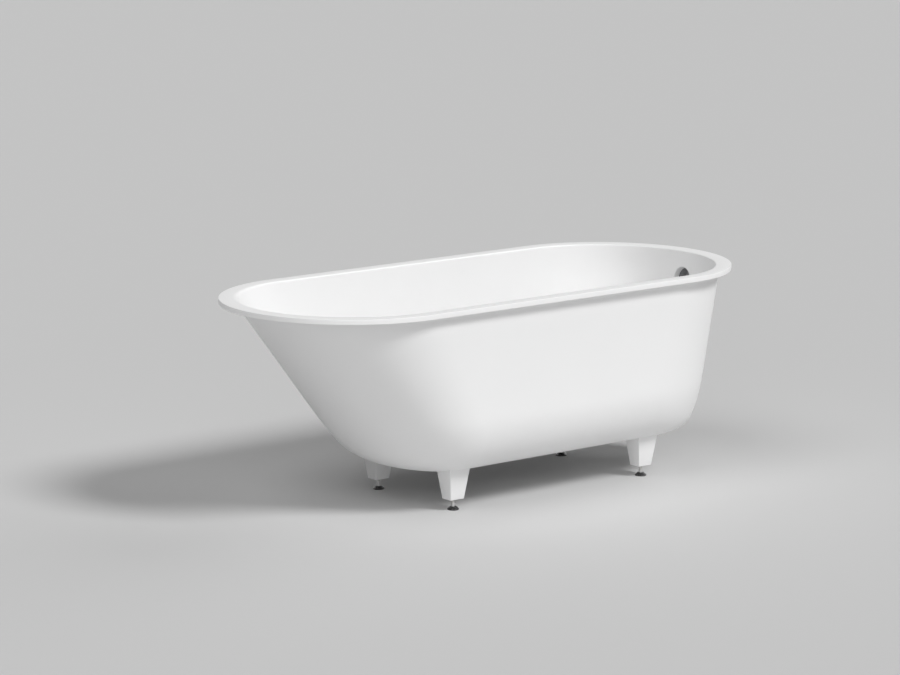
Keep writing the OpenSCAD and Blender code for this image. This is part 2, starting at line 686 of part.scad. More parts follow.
tub_shell();
leg(0);  // leg_front_left
leg(1);  // leg_rear_left
leg(2);  // leg_front_right
leg(3);  // leg_rear_right
leg_studs(0);  // leg_studs_front_left
leg_studs(1);  // leg_studs_rear_left
leg_studs(2);  // leg_studs_front_right
leg_studs(3);  // leg_studs_rear_right
tub_inserts(0);  // tub_inserts_front_left
tub_inserts(1);  // tub_inserts_rear_left
tub_inserts(2);  // tub_inserts_front_right
tub_inserts(3);  // tub_inserts_rear_right
leg_bush(0);  // leg_bush_front_left
leg_bush(1);  // leg_bush_rear_left
leg_bush(2);  // leg_bush_front_right
leg_bush(3);  // leg_bush_rear_right
foot_spindle(0);  // foot_spindle_front_left
foot_spindle(1);  // foot_spindle_rear_left
foot_spindle(2);  // foot_spindle_front_right
foot_spindle(3);  // foot_spindle_rear_right
foot_pad(0);  // foot_pad_front_left
foot_pad(1);  // foot_pad_rear_left
foot_pad(2);  // foot_pad_front_right
foot_pad(3);  // foot_pad_rear_right
waste_flange();
waste_upper_seal();
waste_lower_seal();
waste_tee();
plug_cap();
plug_seal();
plug_stem();
plug_guide();
overflow_gasket();
overflow_elbow();
overflow_inserts();
overflow_screws();
overflow_pipe_upper();
overflow_bend();
overflow_pipe_lower();
overflow_nut_top();
overflow_nut_bottom();
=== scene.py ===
# %% [markdown]
# A freestanding bath, cast in one piece from stone resin, on four tapered legs
# with screw feet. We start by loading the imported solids: they are the fixed
# frame, and every piece we model goes exactly where its solid stands.

# %% Load the frame
import json
import math
import bmesh
import bpy
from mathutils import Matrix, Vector


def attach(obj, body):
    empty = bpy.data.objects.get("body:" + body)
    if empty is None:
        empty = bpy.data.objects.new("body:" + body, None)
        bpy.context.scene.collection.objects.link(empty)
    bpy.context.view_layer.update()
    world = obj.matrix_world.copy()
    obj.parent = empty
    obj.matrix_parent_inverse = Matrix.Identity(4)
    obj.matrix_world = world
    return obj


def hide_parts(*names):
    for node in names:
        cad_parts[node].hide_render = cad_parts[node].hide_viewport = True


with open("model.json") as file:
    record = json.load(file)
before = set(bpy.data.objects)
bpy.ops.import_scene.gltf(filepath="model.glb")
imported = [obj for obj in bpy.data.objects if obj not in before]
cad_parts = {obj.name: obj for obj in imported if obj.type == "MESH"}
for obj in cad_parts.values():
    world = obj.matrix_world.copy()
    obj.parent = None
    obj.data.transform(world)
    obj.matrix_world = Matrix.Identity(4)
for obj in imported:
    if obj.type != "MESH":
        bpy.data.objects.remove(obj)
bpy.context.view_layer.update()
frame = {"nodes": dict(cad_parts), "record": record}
nodes = frame["nodes"]

# %% [markdown]
# The camera comes first, so that each piece can be judged from the place the
# photograph was taken from. A long lens far away gives the calm, nearly
# parallel lines. By eye it is hard to tell from a shorter lens nearby, so the
# numbers come from a fit to the outlines of the rim, the body and the legs.

# %% Camera
CAMERA_AT = Vector((-6.7235, -8.0720, 2.3880))
LOOKS_AT = Vector((-0.1168, 0.0, 0.4597))
LENS_MM = 146.72
SENSOR_MM = 36.0
CLIP_END = 200.0

bpy.ops.object.camera_add(location=CAMERA_AT)
camera = bpy.context.object
camera.rotation_euler = (LOOKS_AT - CAMERA_AT).to_track_quat("-Z", "Y").to_euler()
camera.data.sensor_width = SENSOR_MM
camera.data.lens = LENS_MM
camera.data.clip_end = CLIP_END
bpy.context.scene.camera = camera
print("camera", round((CAMERA_AT - LOOKS_AT).length, 3), "m away")

# %% [markdown]
# The set is a plain pale floor that runs on past the top of the view, so no
# horizon shows. The shadows in the picture tell where the light comes from: a
# long soft one runs back from the bath and a little to the left, so the key
# lamp stands in front, somewhat to the right. The head end and the fronts of
# the legs are light right up to the belly, so there is a wide low lamp at the
# front left too. A higher one beyond the head end looks over the raked back and
# reaches the inner foot wall. The other two only open the shade. Together they
# keep a white surface just below pure white. Area lamps would do as well, but a
# sun is as strong far away as nearby, so each can be set by itself.

# %% Lamps
# Each lamp: degrees round from the front towards the foot end, degrees up,
# how wide it is in degrees, and its strength
LAMPS = {
    "key": (18, 44, 17, 1.92),
    "front_left": (-39, 24, 50, 0.82),
    "right": (90, 34, 50, 0.6),
    "left": (-80, 55, 34, 0.7),
    "back": (180, 45, 50, 0.12),
}
LAMP_DISTANCE = 4

for name, (round_by, up, wide, strength) in LAMPS.items():
    turn, rise = math.radians(round_by), math.radians(up)
    towards = Vector((math.sin(turn) * math.cos(rise), -math.cos(turn) * math.cos(rise),
                      math.sin(rise)))
    bpy.ops.object.light_add(type="SUN", location=towards * LAMP_DISTANCE)
    lamp = bpy.context.object
    lamp.name = name
    lamp.rotation_euler = towards.to_track_quat("Z", "Y").to_euler()
    lamp.data.energy = strength
    lamp.data.angle = math.radians(wide)
print("lamps:", ", ".join(LAMPS))

# %% [markdown]
# The world gives almost no light. But to the camera, in reflections and through
# clear things it is as pale as the floor, so that the chrome has a studio to
# show.

# %% World
WORLD_LIGHT = 0.01
WORLD_SEEN = 0.54

world = bpy.data.worlds.new("studio")
world.use_nodes = True
links, shaders = world.node_tree.links, world.node_tree.nodes
path = shaders.new("ShaderNodeLightPath")
seen = shaders.new("ShaderNodeMath")
seen.operation = "MAXIMUM"
seen_through = shaders.new("ShaderNodeMath")
seen_through.operation = "MAXIMUM"
level = shaders.new("ShaderNodeMapRange")
level.inputs["To Min"].default_value = WORLD_LIGHT
level.inputs["To Max"].default_value = WORLD_SEEN
links.new(path.outputs["Is Camera Ray"], seen.inputs[0])
links.new(path.outputs["Is Glossy Ray"], seen.inputs[1])
links.new(seen.outputs["Value"], seen_through.inputs[0])
links.new(path.outputs["Is Transmission Ray"], seen_through.inputs[1])
links.new(seen_through.outputs["Value"], level.inputs["Value"])
links.new(level.outputs["Result"], shaders["Background"].inputs["Strength"])
shaders["Background"].inputs["Color"].default_value = (1, 1, 1, 1)
bpy.context.scene.world = world
bpy.context.scene.view_settings.view_transform = "Standard"
print("world:", WORLD_LIGHT, "as light,", WORLD_SEEN, "as seen")

# %% [markdown]
# Small helpers for shader nodes. Each material keeps its own Principled BSDF.
# What several materials share, such as a fine grain, is a node group with
# named sockets, built once.


# %% Shader helpers
def new_material(name):
    made = bpy.data.materials.new(name)
    made.use_nodes = True
    return made, made.node_tree, made.node_tree.nodes["Principled BSDF"]


def add_node(tree, kind, **values):
    node = tree.nodes.new(kind)
    for name, value in values.items():
        if hasattr(node, name):
            setattr(node, name, value)
        else:
            node.inputs[name.replace("_", " ")].default_value = value
    return node


def object_coordinates(tree):
    return add_node(tree, "ShaderNodeTexCoord").outputs["Object"]


def new_group(name, inputs, outputs):
    group = bpy.data.node_groups.new(name, "ShaderNodeTree")
    for label, kind, value in inputs:
        socket = group.interface.new_socket(label, in_out="INPUT", socket_type=kind)
        if value is not None:
            socket.default_value = value
    for label, kind in outputs:
        group.interface.new_socket(label, in_out="OUTPUT", socket_type=kind)
    return group, group.nodes.new("NodeGroupInput"), group.nodes.new("NodeGroupOutput")


# %% [markdown]
# Grain: a slow mottling that drifts between two close colours, and a fine
# noise that varies roughness and gives height for a bump. Cast resin, moulded
# plastic and rubber all show it, each at its own scale.


# %% Grain group
def build_grain():
    group, given, out = new_group(
        "grain",
        [("Vector", "NodeSocketVector", None), ("Light", "NodeSocketColor", (1, 1, 1, 1)),
         ("Dark", "NodeSocketColor", (0.9, 0.9, 0.9, 1)),
         ("Mottle Scale", "NodeSocketFloat", 6.0), ("Grain Scale", "NodeSocketFloat", 900.0),
         ("Rough Low", "NodeSocketFloat", 0.4), ("Rough High", "NodeSocketFloat", 0.5)],
        [("Color", "NodeSocketColor"), ("Roughness", "NodeSocketFloat"),
         ("Height", "NodeSocketFloat")],
    )
    link = group.links.new
    mottle = add_node(group, "ShaderNodeTexNoise", Detail=3.0, Roughness=0.55)
    grain = add_node(group, "ShaderNodeTexNoise", Detail=2.0, Roughness=0.6)
    blend = add_node(group, "ShaderNodeMix", data_type="RGBA")
    spread = add_node(group, "ShaderNodeMapRange")
    link(given.outputs["Vector"], mottle.inputs["Vector"])
    link(given.outputs["Vector"], grain.inputs["Vector"])
    link(given.outputs["Mottle Scale"], mottle.inputs["Scale"])
    link(given.outputs["Grain Scale"], grain.inputs["Scale"])
    link(mottle.outputs["Fac"], blend.inputs["Factor"])
    link(given.outputs["Dark"], blend.inputs["A"])
    link(given.outputs["Light"], blend.inputs["B"])
    link(grain.outputs["Fac"], spread.inputs["Value"])
    link(given.outputs["Rough Low"], spread.inputs["To Min"])
    link(given.outputs["Rough High"], spread.inputs["To Max"])
    link(blend.outputs["Result"], out.inputs["Color"])
    link(spread.outputs["Result"], out.inputs["Roughness"])
    link(grain.outputs["Fac"], out.inputs["Height"])
    return group


grain_group = build_grain()
BUMP_HEIGHT = 0.001


def grained(name, light, dark, mottle, grain, rough, bump, metallic=0.0, coat=0.0):
    made, tree, shader = new_material(name)
    use = tree.nodes.new("ShaderNodeGroup")
    use.node_tree = grain_group
    use.inputs["Light"].default_value = (*light, 1)
    use.inputs["Dark"].default_value = (*dark, 1)
    use.inputs["Mottle Scale"].default_value = mottle
    use.inputs["Grain Scale"].default_value = grain
    use.inputs["Rough Low"].default_value, use.inputs["Rough High"].default_value = rough
    height = add_node(tree, "ShaderNodeBump", Distance=BUMP_HEIGHT, Strength=bump)
    link = tree.links.new
    link(object_coordinates(tree), use.inputs["Vector"])
    link(use.outputs["Color"], shader.inputs["Base Color"])
    link(use.outputs["Roughness"], shader.inputs["Roughness"])
    link(use.outputs["Height"], height.inputs["Height"])
    link(height.outputs["Normal"], shader.inputs["Normal"])
    shader.inputs["Metallic"].default_value = metallic
    shader.inputs["Coat Weight"].default_value = coat
    return made


# %% [markdown]
# The finishes. Stone resin is an even white, neither warm nor cold, with a soft
# satin face. The pads are black plastic with a thin gloss, the spindles bright
# zinc-plated steel, and the waste is chromed. Flat colours would do from far
# away, but close up a large plain face looks drawn. So every finish has its
# grain, and one function makes them all, each from a line of values.

# %% Finishes
# Each finish: its light and its dark colour, the scales of the mottling and of
# the grain, the lowest and highest roughness, the bump, then metallic and coat
FINISH_VALUES = {
    "stone_resin": ((0.92, 0.92, 0.92), (0.90, 0.90, 0.90), 5.0, 700.0, (0.42, 0.5), 0.03),
    "pad_plastic": ((0.028, 0.028, 0.029), (0.02, 0.02, 0.021), 60.0, 1500.0, (0.2, 0.3), 0.05,
                    0.0, 0.5),
    "bright_steel": ((0.78, 0.78, 0.77), (0.66, 0.66, 0.66), 90.0, 1200.0, (0.22, 0.34), 0.05,
                     1.0),
    "brass": ((0.83, 0.66, 0.34), (0.7, 0.54, 0.26), 70.0, 1200.0, (0.25, 0.4), 0.05, 1.0),
    "chrome": ((0.88, 0.88, 0.89), (0.84, 0.84, 0.85), 20.0, 400.0, (0.05, 0.09), 0.01, 1.0),
    "seal_rubber": ((0.03, 0.03, 0.03), (0.02, 0.02, 0.02), 80.0, 1500.0, (0.6, 0.75), 0.1),
    "white_plastic": ((0.82, 0.82, 0.80), (0.78, 0.78, 0.76), 18.0, 900.0, (0.3, 0.38), 0.04),
    "grey_plastic": ((0.38, 0.38, 0.39), (0.34, 0.34, 0.35), 30.0, 1200.0, (0.35, 0.5), 0.08),
}
FINISHES = {name: grained(name, *values) for name, values in FINISH_VALUES.items()}

for part in frame["record"]["subparts"]:
    mesh = nodes[part["node"]].data
    mesh.materials.clear()
    mesh.materials.append(FINISHES[part["material_slot"]])
print("finishes:", len(FINISHES))

# %% [markdown]
# The floor gets its own plain material, with a painted pool of light: its grey
# is a hair lighter round the bath than far away, as a lit studio floor is. A
# soft lamp could do that too, but it would also light the bath, so here the
# colour itself fades with the distance.


# %% Floor
FLOOR_SIZE = 120.0
# Painted pool of light: the floor's grey near the bath, and far away
FLOOR_NEAR = 0.65
FLOOR_FAR = 0.64
# Metres from the bath between which the one grey goes over into the other
FLOOR_FADE = (1.0, 2.6)
FLOOR_ROUGHNESS = 0.9


def build_floor_material():
    made, tree, shader = new_material("studio_floor")
    ramp = add_node(tree, "ShaderNodeValToRGB")
    distance = add_node(tree, "ShaderNodeVectorMath", operation="LENGTH")
    reach = add_node(tree, "ShaderNodeMapRange")
    reach.inputs["From Min"].default_value, reach.inputs["From Max"].default_value = FLOOR_FADE
    for stop, grey in zip(ramp.color_ramp.elements, (FLOOR_NEAR, FLOOR_FAR)):
        stop.color = (grey, grey, grey, 1)
    ramp.color_ramp.interpolation = "EASE"
    tree.links.new(object_coordinates(tree), distance.inputs[0])
    tree.links.new(distance.outputs["Value"], reach.inputs["Value"])
    tree.links.new(reach.outputs["Result"], ramp.inputs["Fac"])
    tree.links.new(ramp.outputs["Color"], shader.inputs["Base Color"])
    shader.inputs["Roughness"].default_value = FLOOR_ROUGHNESS
    shader.inputs["Specular IOR Level"].default_value = 0.0
    return made


bpy.ops.mesh.primitive_plane_add(size=FLOOR_SIZE)
floor = bpy.context.object
floor.name = "studio_floor"
floor.data.materials.append(build_floor_material())
print("floor:", FLOOR_SIZE, "m wide")

# %% [markdown]
# Modelling helpers. An operator works on whatever is selected, so we always
# clear the selection first, and in edit mode we pick vertices by where they
# are. We model in millimetres, which are easy to read, and turn each finished
# piece into metres.


# %% Modelling helpers
MM = 0.001
# In millimetres: points closer than this are one, and how far a cutter runs past a face
WELD = 0.001
PAST = 1
# Facets of large, small and thin round forms
ROUND, ROUND_SMALL, ROUND_THIN = 96, 64, 48
SMOOTH_ANGLE = math.radians(30.0)


def clear_selection():
    if bpy.context.mode != "OBJECT":
        bpy.ops.object.mode_set(mode="OBJECT")
    bpy.ops.object.select_all(action="DESELECT")


def pick(rule, kind="verts"):
    """Selects in edit mode exactly the vertices, edges or faces that rule accepts."""
    mesh = bpy.context.edit_object.data
    cage = bmesh.from_edit_mesh(mesh)
    for group in (cage.verts, cage.edges, cage.faces):
        for element in group:
            element.select = False
    found = [element for element in getattr(cage, kind) if rule(element)]
    for element in found:
        element.select = True
    cage.select_flush_mode()
    bmesh.update_edit_mesh(mesh)
    return len(found)


def apply_modifier(piece, kind, **values):
    modifier = piece.modifiers.new(kind.lower(), kind)
    for name, value in values.items():
        setattr(modifier, name, value)
    clear_selection()
    bpy.context.view_layer.objects.active = piece
    piece.select_set(True)
    bpy.ops.object.modifier_apply(modifier=modifier.name)


def cut(piece, cutter, operation="DIFFERENCE"):
    """Cuts piece with cutter, or joins it on, and removes the cutter."""
    apply_modifier(piece, "BOOLEAN", object=cutter, operation=operation, solver="EXACT")
    bpy.data.objects.remove(cutter)


def settle(piece, name, body, slot, replaces):
    """Puts the place in the mesh, turns millimetres into metres, smooths the piece, gives it its
    finish and lets it ride."""
    clear_selection()
    bpy.context.view_layer.objects.active = piece
    piece.select_set(True)
    bpy.ops.object.transform_apply(location=True, rotation=True, scale=True)
    piece.scale = (MM, MM, MM)
    bpy.ops.object.transform_apply(location=False, rotation=False, scale=True)
    bpy.ops.object.shade_smooth_by_angle(angle=SMOOTH_ANGLE)
    piece.name = name
    piece.data.name = name
    piece.data.materials.clear()
    piece.data.materials.append(FINISHES[slot])
    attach(piece, body)
    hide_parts(*replaces)
    print(name, len(piece.data.polygons), "faces")


# %% [markdown]
# The tub's form. It could be a coarse cage under Subdivision Surface, but then
# its flat rim and the lean of each wall would only come near the real ones.
# Every level cut through it, inside or out, is the same kind of outline: a
# straight stretch with half an ellipse at either end. So the whole casting can
# be described by how far the head wall, the foot wall and the sides reach at
# each height, and how long the rounded ends are. First the sizes.

# %% Sizes of the tub
RIM = dict(z=620.0, thick=14.5, reach=850.0, half=378.0, end_head=372.0, end_foot=354.0,
           round=1.0)
# Width of the flat rim at each wall, and how far its inner rounding runs in
LIP = dict(head=(40.0, 14.5), foot=(49.0, 3.0), side=(39.0, 5.0))
UNDERSIDE = 110.0
FLOOR_THICK = 24.0
FLOOR_FALL = 5.0
WALL = 15.0
# Height of the plumb band at the top of the inner foot wall, and how softly it begins
UPRIGHT = 75.0
KNEE = 6.0
# Radius of the hollow between the outer wall and the rim
ROOT_ROUND = 16.0
BODY_H = RIM["z"] - RIM["thick"] - UNDERSIDE
BASIN_Z = UNDERSIDE + FLOOR_THICK
BASIN_H = RIM["z"] - BASIN_Z
# How far out each wall stands at the underside, how far it leans out up to the rim,
# its corner radius outside and inside, and its rounded end's length at base and top
HEAD = dict(base=398.0, rake=405.0, outer=180.0, inner=165.0, end=(220.0, 372.0))
FOOT = dict(base=735.0, rake=90.0, outer=58.0, inner=70.0, end=(340.0, 372.0))
SIDE = dict(base=320.0, rake=30.0, outer=190.0, inner=175.0)


# %% Wall curves
def arc_reach(radius, height):
    return math.sqrt(max(0.0, radius * radius - height * height))


def wall_reach(base, rake, rise, radius, height):
    """Reach of a leaning wall with an arc of that radius into the floor."""
    lean = math.atan(rake / rise)
    if height < radius * (1 - math.sin(lean)):
        centre = base + radius * math.tan(lean) - radius / math.cos(lean)
        return centre + arc_reach(radius, height - radius)
    return base + rake * height / rise


def outer_reach(wall, height):
    """The outer wall: its line and corner, and the hollow arc out to the rim."""
    lean = math.atan(wall["rake"] / BODY_H)
    if height > BODY_H - ROOT_ROUND * (1 - math.sin(lean)):
        centre = (wall["base"] + wall["rake"] * (BODY_H - ROOT_ROUND) / BODY_H
                  + ROOT_ROUND / math.cos(lean))
        return centre - arc_reach(ROOT_ROUND, height - BODY_H + ROOT_ROUND)
    return wall_reach(wall["base"], wall["rake"], BODY_H, wall["outer"], height)


def inner_base(wall):
    lean = math.atan(wall["rake"] / BODY_H)
    return wall["base"] + FLOOR_THICK * math.tan(lean) - WALL / math.cos(lean)


def inner_line(wall, lip, upright, height):
    """The inner wall without lip and corner. Upright is the height of its plumb band."""
    base, top = inner_base(wall), lip[2]
    leaning = base + (top - base) * height / (BASIN_H - upright)
    if not upright:
        return leaning
    near = max(KNEE - abs(top - leaning), 0.0)
    return min(top, leaning) - near * near / (4 * KNEE)


def inner_reach(wall, lip, upright, height):
    edge, run, top = lip
    base = inner_base(wall)
    lean = math.atan((top - base) / (BASIN_H - upright))
    lip_lean = 0.0 if upright else lean
    radius = run / math.tan(math.pi / 4 - lip_lean / 2)
    if height > BASIN_H - radius * (1 - math.sin(lip_lean)):
        return edge - arc_reach(radius, height - BASIN_H + radius)
    if height < wall["inner"] * (1 - math.sin(lean)):
        return wall_reach(base, top - base, BASIN_H - upright, wall["inner"], height)
    return inner_line(wall, lip, upright, height)


# %% [markdown]
# A section is (height, head reach, foot reach, half width, head end, foot end).
# Below the corner the ends shrink with the width; where the wall flares out to
# the rim they grow with the reach, so the flare is equally wide all round.


# %% Sections
NEARLY = 1e-9


def end_length(length, reach, line, half, line_half):
    """Length of a rounded end: line and line_half are the wall's reach without its curves."""
    if reach > line + NEARLY:
        return length + reach - line
    return length * half / line_half


def blend(pair, share):
    return pair[0] + (pair[1] - pair[0]) * share


def outer_section(height):
    head, foot, half = (outer_reach(wall, height) for wall in (HEAD, FOOT, SIDE))
    share = height / BODY_H
    line_half = SIDE["base"] + SIDE["rake"] * share
    ends = [end_length(blend(wall["end"], share), reach, wall["base"] + wall["rake"] * share,
                       half, line_half)
            for wall, reach in ((HEAD, head), (FOOT, foot))]
    return (UNDERSIDE + height, head, foot, half, *ends)


def rim_section(height, inset):
    return (height, RIM["reach"] - inset, RIM["reach"] - inset, RIM["half"] - inset,
            RIM["end_head"] - inset, RIM["end_foot"] - inset)


def lip_of(name, outside):
    inset, run = LIP[name]
    return (outside - inset, run, outside - inset - run)


def basin_section(height):
    lips = [lip_of("head", RIM["reach"]), lip_of("foot", RIM["reach"]), lip_of("side", RIM["half"])]
    uprights = [0.0, UPRIGHT, 0.0]
    walls = [HEAD, FOOT, SIDE]
    reach = [inner_reach(*parts, height) for parts in zip(walls, lips, uprights)]
    line = [inner_line(*parts, height) for parts in zip(walls, lips, uprights)]
    share = height / BASIN_H
    ends = []
    for i, rim_end in enumerate((RIM["end_head"], RIM["end_foot"])):
        low = walls[i]["end"][0] - walls[i]["base"] + inner_base(walls[i])
        high = rim_end - sum(LIP[("head", "foot")[i]])
        ends.append(end_length(blend((low, high), share), reach[i], line[i], reach[2], line[2]))
    return (BASIN_Z + height, *reach, *ends)


# %% [markdown]
# The sections in order, as a hand would run over the casting: out from the
# waste hole under the bath, round the bottom corner, up the wall, over the rim,
# down inside, across the falling floor and back down through the hole.
# Levels lie close together where the form turns.

# %% Section list
WASTE_X = 580.0
HOLE_R = 26.0
HOLE_EDGE = 0.5
# The recess that takes the waste's flange, and the end of the floor's fall round it
RECESS_R = 36.0
RECESS_EDGE = 0.6
RECESS_Z = 124.95
DISH_R = 47.0
DISH_Z = BASIN_Z - FLOOR_FALL
# How far below the rim's top the levels of the lip reach
LIP_DEPTH = 17.0
CORNER_STEPS, LIP_STEPS = 22, 12
OUTER_STEPS, INNER_STEPS = 8, 18


def round_section(radius, height):
    """A circle round the waste, written as a section without a straight stretch."""
    return (height, radius - WASTE_X, radius + WASTE_X, radius, radius, radius)


def quarter(steps, size):
    """Heights from 0 to size, close together at 0 like the start of a quarter turn."""
    return [size * (1 - math.cos(math.pi / 2 * i / steps)) for i in range(steps + 1)]


def even(low, high, steps):
    return [low + (high - low) * i / steps for i in range(1, steps)]


quarter_turn = [math.radians(angle) for angle in range(0, 91, 15)]
corner = quarter(CORNER_STEPS, SIDE["outer"])
root = [BODY_H - ROOT_ROUND + ROOT_ROUND * math.sin(angle) for angle in quarter_turn]
edge = [(RIM["round"] * (1 - math.sin(angle)), RIM["round"] * (1 - math.cos(angle)))
        for angle in quarter_turn]
lip = [BASIN_H - drop for drop in quarter(LIP_STEPS, LIP_DEPTH)]
inner_corner = quarter(CORNER_STEPS, SIDE["inner"])
inner_wall = even(lip[-1], inner_corner[-1], INNER_STEPS)

sections = [round_section(HOLE_R, UNDERSIDE)]
sections += [outer_section(h) for h in corner + even(corner[-1], root[0], OUTER_STEPS) + root]
sections += [rim_section(RIM["z"] - RIM["thick"] + rise, inset) for inset, rise in edge]
sections += [rim_section(RIM["z"] - inset, rise) for inset, rise in edge]
sections += [basin_section(h) for h in lip + inner_wall + inner_corner[::-1]]
sections += [round_section(DISH_R, DISH_Z), round_section(RECESS_R + RECESS_EDGE, DISH_Z),
             round_section(RECESS_R, DISH_Z - RECESS_EDGE), round_section(RECESS_R, RECESS_Z),
             round_section(HOLE_R + HOLE_EDGE, RECESS_Z),
             round_section(HOLE_R, RECESS_Z - HOLE_EDGE), round_section(HOLE_R, UNDERSIDE)]
print("sections:", len(sections))

# %% [markdown]
# Building it. The first outline is half a circle, copied to the other side and
# closed with two edges: two rounded ends and the straight stretch between
# them. Then we only extrude. Each new loop is scaled and moved, end by end,
# until it matches the next section, and what is done is hidden, so that the
# operators meet nothing but the fresh loop.

# %% First outline
END_STEPS = 72
TINY = 1e-4

clear_selection()
bpy.ops.mesh.primitive_circle_add(vertices=2 * END_STEPS, radius=1.0)
tub = bpy.context.object
bpy.ops.object.mode_set(mode="EDIT")
bpy.ops.mesh.select_mode(type="VERT")
pick(lambda v: v.co.x < -TINY)
bpy.ops.mesh.delete(type="VERT")
bpy.ops.mesh.select_all(action="SELECT")
bpy.ops.transform.translate(value=(1.0, 0, 0))
bpy.ops.mesh.duplicate()
bpy.ops.transform.resize(value=(-1, 1, 1), center_override=(0, 0, 0))
for side in (-1, 1):
    pick(lambda v: abs(v.co.y - side) < TINY)
    bpy.ops.mesh.edge_face_add()
bpy.ops.object.vertex_group_add()
pick(lambda v: v.co.x > 0)
bpy.ops.object.vertex_group_assign()
bpy.ops.mesh.select_all(action="SELECT")
print("points in an outline:", len(tub.data.vertices))


# %% Loop after loop
def move_end(sign, old, new):
    """Scales the selected end of a loop about its own centre and puts it in its new place."""
    reach, length = (2, 5) if sign > 0 else (1, 4)
    old_centre = sign * (old[reach] - old[length])
    new_centre = sign * (new[reach] - new[length])
    bpy.ops.transform.resize(value=(new[length] / old[length], new[3] / old[3], 1.0),
                             center_override=(old_centre, 0, old[0]))
    bpy.ops.transform.translate(value=(new_centre - old_centre, 0, new[0] - old[0]))


def reshape(old, new):
    bpy.ops.object.vertex_group_deselect()
    move_end(-1, old, new)
    bpy.ops.mesh.select_all(action="INVERT")
    move_end(1, old, new)
    bpy.ops.mesh.select_all(action="SELECT")


FIRST_OUTLINE = (0.0, 2.0, 2.0, 1.0, 1.0, 1.0)
reshape(FIRST_OUTLINE, sections[0])
for old, new in zip(sections, sections[1:]):
    bpy.ops.mesh.extrude_region_move()
    bpy.ops.mesh.hide(unselected=True)
    reshape(old, new)

bpy.ops.mesh.reveal()
bpy.ops.mesh.select_all(action="SELECT")
bpy.ops.mesh.remove_doubles(threshold=WELD)
bpy.ops.mesh.normals_make_consistent(inside=False)
bpy.ops.object.mode_set(mode="OBJECT")
tub.vertex_groups.clear()
print("casting:", len(tub.data.polygons), "faces")

# %% [markdown]
# The overflow sits in the foot wall, square to it. Its places are given along
# the wall and away from it, so first a small function turns such a place into
# x, y, z. Behind the hole the wall carries a flat seat for the overflow elbow.

# %% The overflow's frame
FOOT_LEAN = math.atan(FOOT["rake"] / BODY_H)
OUTWARD = Vector((math.cos(FOOT_LEAN), 0, -math.sin(FOOT_LEAN)))
UPWARD = Vector((math.sin(FOOT_LEAN), 0, math.cos(FOOT_LEAN)))
BEND_CENTRE = Vector((
    FOOT["base"] + FOOT["outer"] * (math.tan(FOOT_LEAN) - 1 / math.cos(FOOT_LEAN)), 0,
    UNDERSIDE + FOOT["outer"]))
OVERFLOW_Z = 537.0
OVERFLOW_R = 33.0
OVERFLOW_FLARE = 2.5
CUT_R = OVERFLOW_R + OVERFLOW_FLARE
OVERFLOW_UP = ((OVERFLOW_Z - WALL * math.sin(FOOT_LEAN) - BEND_CENTRE.z) / math.cos(FOOT_LEAN)
               + FOOT["outer"] * math.tan(FOOT_LEAN))
SEAT_R = 43.0
SEAT_H = 1.5


def on_foot_wall(off, up):
    """A place off the outside of the foot wall, at the distance up along it."""
    return BEND_CENTRE + OUTWARD * (FOOT["outer"] + off) + UPWARD * up


def wall_cylinder(radius, low, high):
    """A cylinder square to the foot wall at the overflow, from off low to off high."""
    clear_selection()
    bpy.ops.mesh.primitive_cylinder_add(
        vertices=ROUND, radius=radius, depth=high - low,
        location=on_foot_wall((low + high) / 2, OVERFLOW_UP),
        rotation=(0, math.pi / 2 + FOOT_LEAN, 0))
    return bpy.context.object


cut(tub, wall_cylinder(SEAT_R, -WALL / 2, SEAT_H), "UNION")
cut(tub, wall_cylinder(CUT_R, -3 * WALL, 2 * WALL))
print("overflow at", [round(v, 1) for v in on_foot_wall(0, OVERFLOW_UP)])

# %% [markdown]
# The hole is cut a little too wide on purpose. We take its wall away, extrude
# the inner edge loop inwards in small steps that follow a quarter circle, and
# bridge it to the outer loop. So the mouth gets its soft edge, and it follows
# the curve of the wall, which a turned cutter could not do. First we need a way
# to tell which vertices lie on the hole.


# %% Vertices of the hole
NEAR = 0.05


def off_axis(vertex):
    """How far a vertex stands off the outside of the foot wall, and from the overflow's axis."""
    away = vertex.co - on_foot_wall(0, OVERFLOW_UP)
    off = away.dot(OUTWARD)
    return off, (away - OUTWARD * off).length


def on_cut(vertex):
    """Whether a vertex lies on the hole as it was cut."""
    off, distance = off_axis(vertex)
    return abs(distance - CUT_R) < NEAR and abs(off) < 2 * WALL


def on_mouth(vertex, inner):
    """Whether a vertex lies on the hole's edge inside the tub, or on the one outside."""
    return on_cut(vertex) and (off_axis(vertex)[0] < -WALL / 2) == inner


# %% Soft mouth of the overflow
FLARE_STEPS = 6

clear_selection()
tub.select_set(True)
bpy.context.view_layer.objects.active = tub
bpy.ops.object.mode_set(mode="EDIT")
bpy.ops.mesh.select_mode(type="FACE")
removed = pick(lambda f: all(on_cut(v) for v in f.verts), "faces")
bpy.ops.mesh.delete(type="ONLY_FACE")
bpy.ops.mesh.select_mode(type="VERT")
pick(lambda v: on_mouth(v, True))
axis_point = on_foot_wall(-WALL, OVERFLOW_UP)
radius, depth = CUT_R, 0.0
for step in range(1, FLARE_STEPS + 1):
    turn = math.pi / 2 * step / FLARE_STEPS
    new_radius = CUT_R - OVERFLOW_FLARE * math.sin(turn)
    new_depth = OVERFLOW_FLARE * (1 - math.cos(turn))
    bpy.ops.mesh.extrude_region_move()
    bpy.ops.transform.resize(value=(new_radius / radius,) * 3,
                             center_override=axis_point + OUTWARD * depth)
    bpy.ops.transform.translate(value=OUTWARD * (new_depth - depth))
    radius, depth = new_radius, new_depth
pick(lambda v: on_mouth(v, False))
bpy.ops.mesh.extrude_region_move()
bpy.ops.transform.resize(value=(OVERFLOW_R / CUT_R,) * 3,
                         center_override=on_foot_wall(SEAT_H, OVERFLOW_UP))
bpy.ops.mesh.select_mode(type="EDGE")
joined = pick(lambda e: len(e.link_faces) == 1, "edges")
